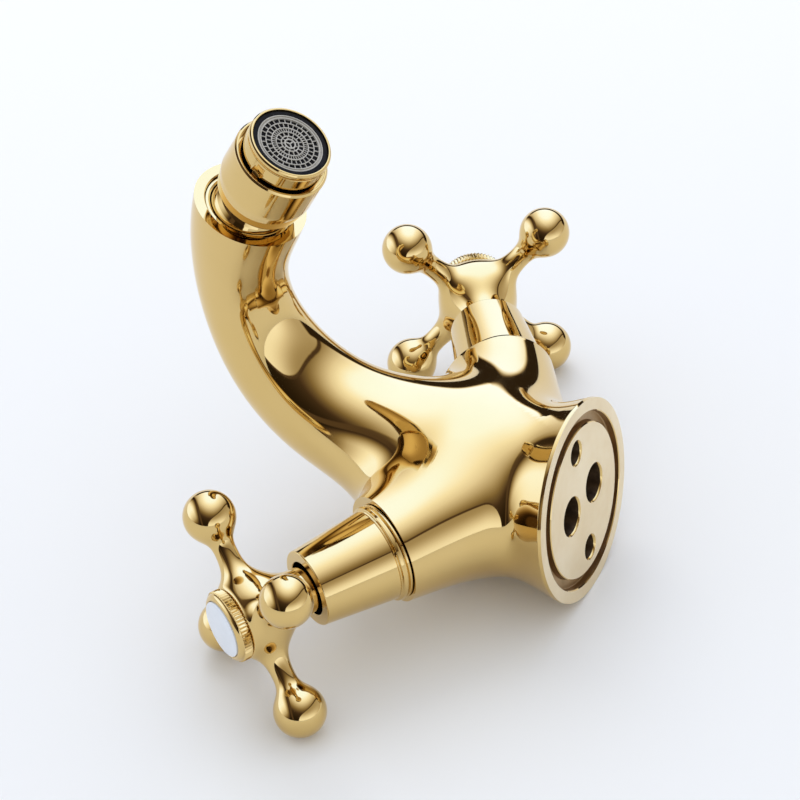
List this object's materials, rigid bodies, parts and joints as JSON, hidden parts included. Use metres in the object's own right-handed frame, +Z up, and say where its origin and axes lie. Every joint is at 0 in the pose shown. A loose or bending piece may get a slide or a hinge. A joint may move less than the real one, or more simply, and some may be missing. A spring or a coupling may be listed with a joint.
{
  "type": "two-handle basin mixer tap",
  "caption": "Deck-mounted basin mixer tap with a curved spout, cross handles on sloping valve arms and an aerator nozzle on a ball joint.",
  "frame": {"origin": "centre of the flat underside of the base, where it meets the deck", "axes": "+Z up out of the deck, -Y the way the spout reaches, +X towards the cold valve"},
  "size_m": [0.1958, 0.1504, 0.1121],
  "materials": {
    "polished_gold": "mirror-polished gold plating on brass",
    "raw_brass": "machined",
    "stainless_steel": "bright",
    "porcelain": "gloss glaze",
    "alumina_ceramic": "lapped",
    "black_rubber": "matt",
    "gasket_fibre": "pressed fibre",
    "grey_plastic": "moulded",
    "white_plastic": "moulded"
  },
  "bodies": {
    "tap_body": {"body_casting": "polished_gold", "hot_bonnet": "polished_gold", "hot_cartridge_body": "raw_brass", "hot_body_gasket": "gasket_fibre", "hot_seat_seal": "black_rubber", "hot_fixed_disc": "alumina_ceramic", "cold_bonnet": "polished_gold", "cold_cartridge_body": "raw_brass", "cold_body_gasket": "gasket_fibre", "cold_seat_seal": "black_rubber", "cold_fixed_disc": "alumina_ceramic", "ball_retaining_nut": "polished_gold", "ball_seal_ring": "black_rubber"},
    "hot_valve_handle": {"hot_handle": "polished_gold", "hot_handle_screw": "stainless_steel", "hot_spindle": "raw_brass", "hot_spindle_o_ring": "black_rubber", "hot_circlip": "stainless_steel", "hot_moving_disc": "alumina_ceramic", "hot_index_ring": "polished_gold", "hot_index_disc": "porcelain"},
    "cold_valve_handle": {"cold_handle": "polished_gold", "cold_handle_screw": "stainless_steel", "cold_spindle": "raw_brass", "cold_spindle_o_ring": "black_rubber", "cold_circlip": "stainless_steel", "cold_moving_disc": "alumina_ceramic", "cold_index_ring": "polished_gold", "cold_index_disc": "porcelain"},
    "swivel_seat": {"ball_seat_ring": "white_plastic"},
    "nozzle": {"nozzle_ball": "polished_gold", "nozzle_barrel": "polished_gold", "aerator_washer": "black_rubber", "aerator_housing": "polished_gold", "aerator_seal": "black_rubber", "aerator_insert": "grey_plastic", "aerator_flow_disc": "white_plastic", "aerator_filter_screen": "stainless_steel"}
  },
  "joints": [
    {"name": "hot_handle_turn", "type": "hinge", "parent": "tap_body", "child": "hot_valve_handle", "pos_m": [-0.07776, -0.00654, 0.06675], "axis": [-0.8299, -0.0175, 0.5577], "range_deg": [0, 90]},
    {"name": "cold_handle_turn", "type": "hinge", "parent": "tap_body", "child": "cold_valve_handle", "pos_m": [0.07776, -0.00654, 0.06675], "axis": [-0.8299, 0.0175, -0.5577], "range_deg": [0, 90]},
    {"name": "nozzle_swivel", "type": "hinge", "parent": "tap_body", "child": "swivel_seat", "pos_m": [0, -0.08457, 0.09385], "axis": [0, -0.8957, -0.4446], "continuous": true},
    {"name": "nozzle_tilt", "type": "hinge", "parent": "swivel_seat", "child": "nozzle", "pos_m": [0, -0.08457, 0.09385], "axis": [0.9781, 0.0924, -0.1862], "range_deg": [-27, 8.9]}
  ]
}
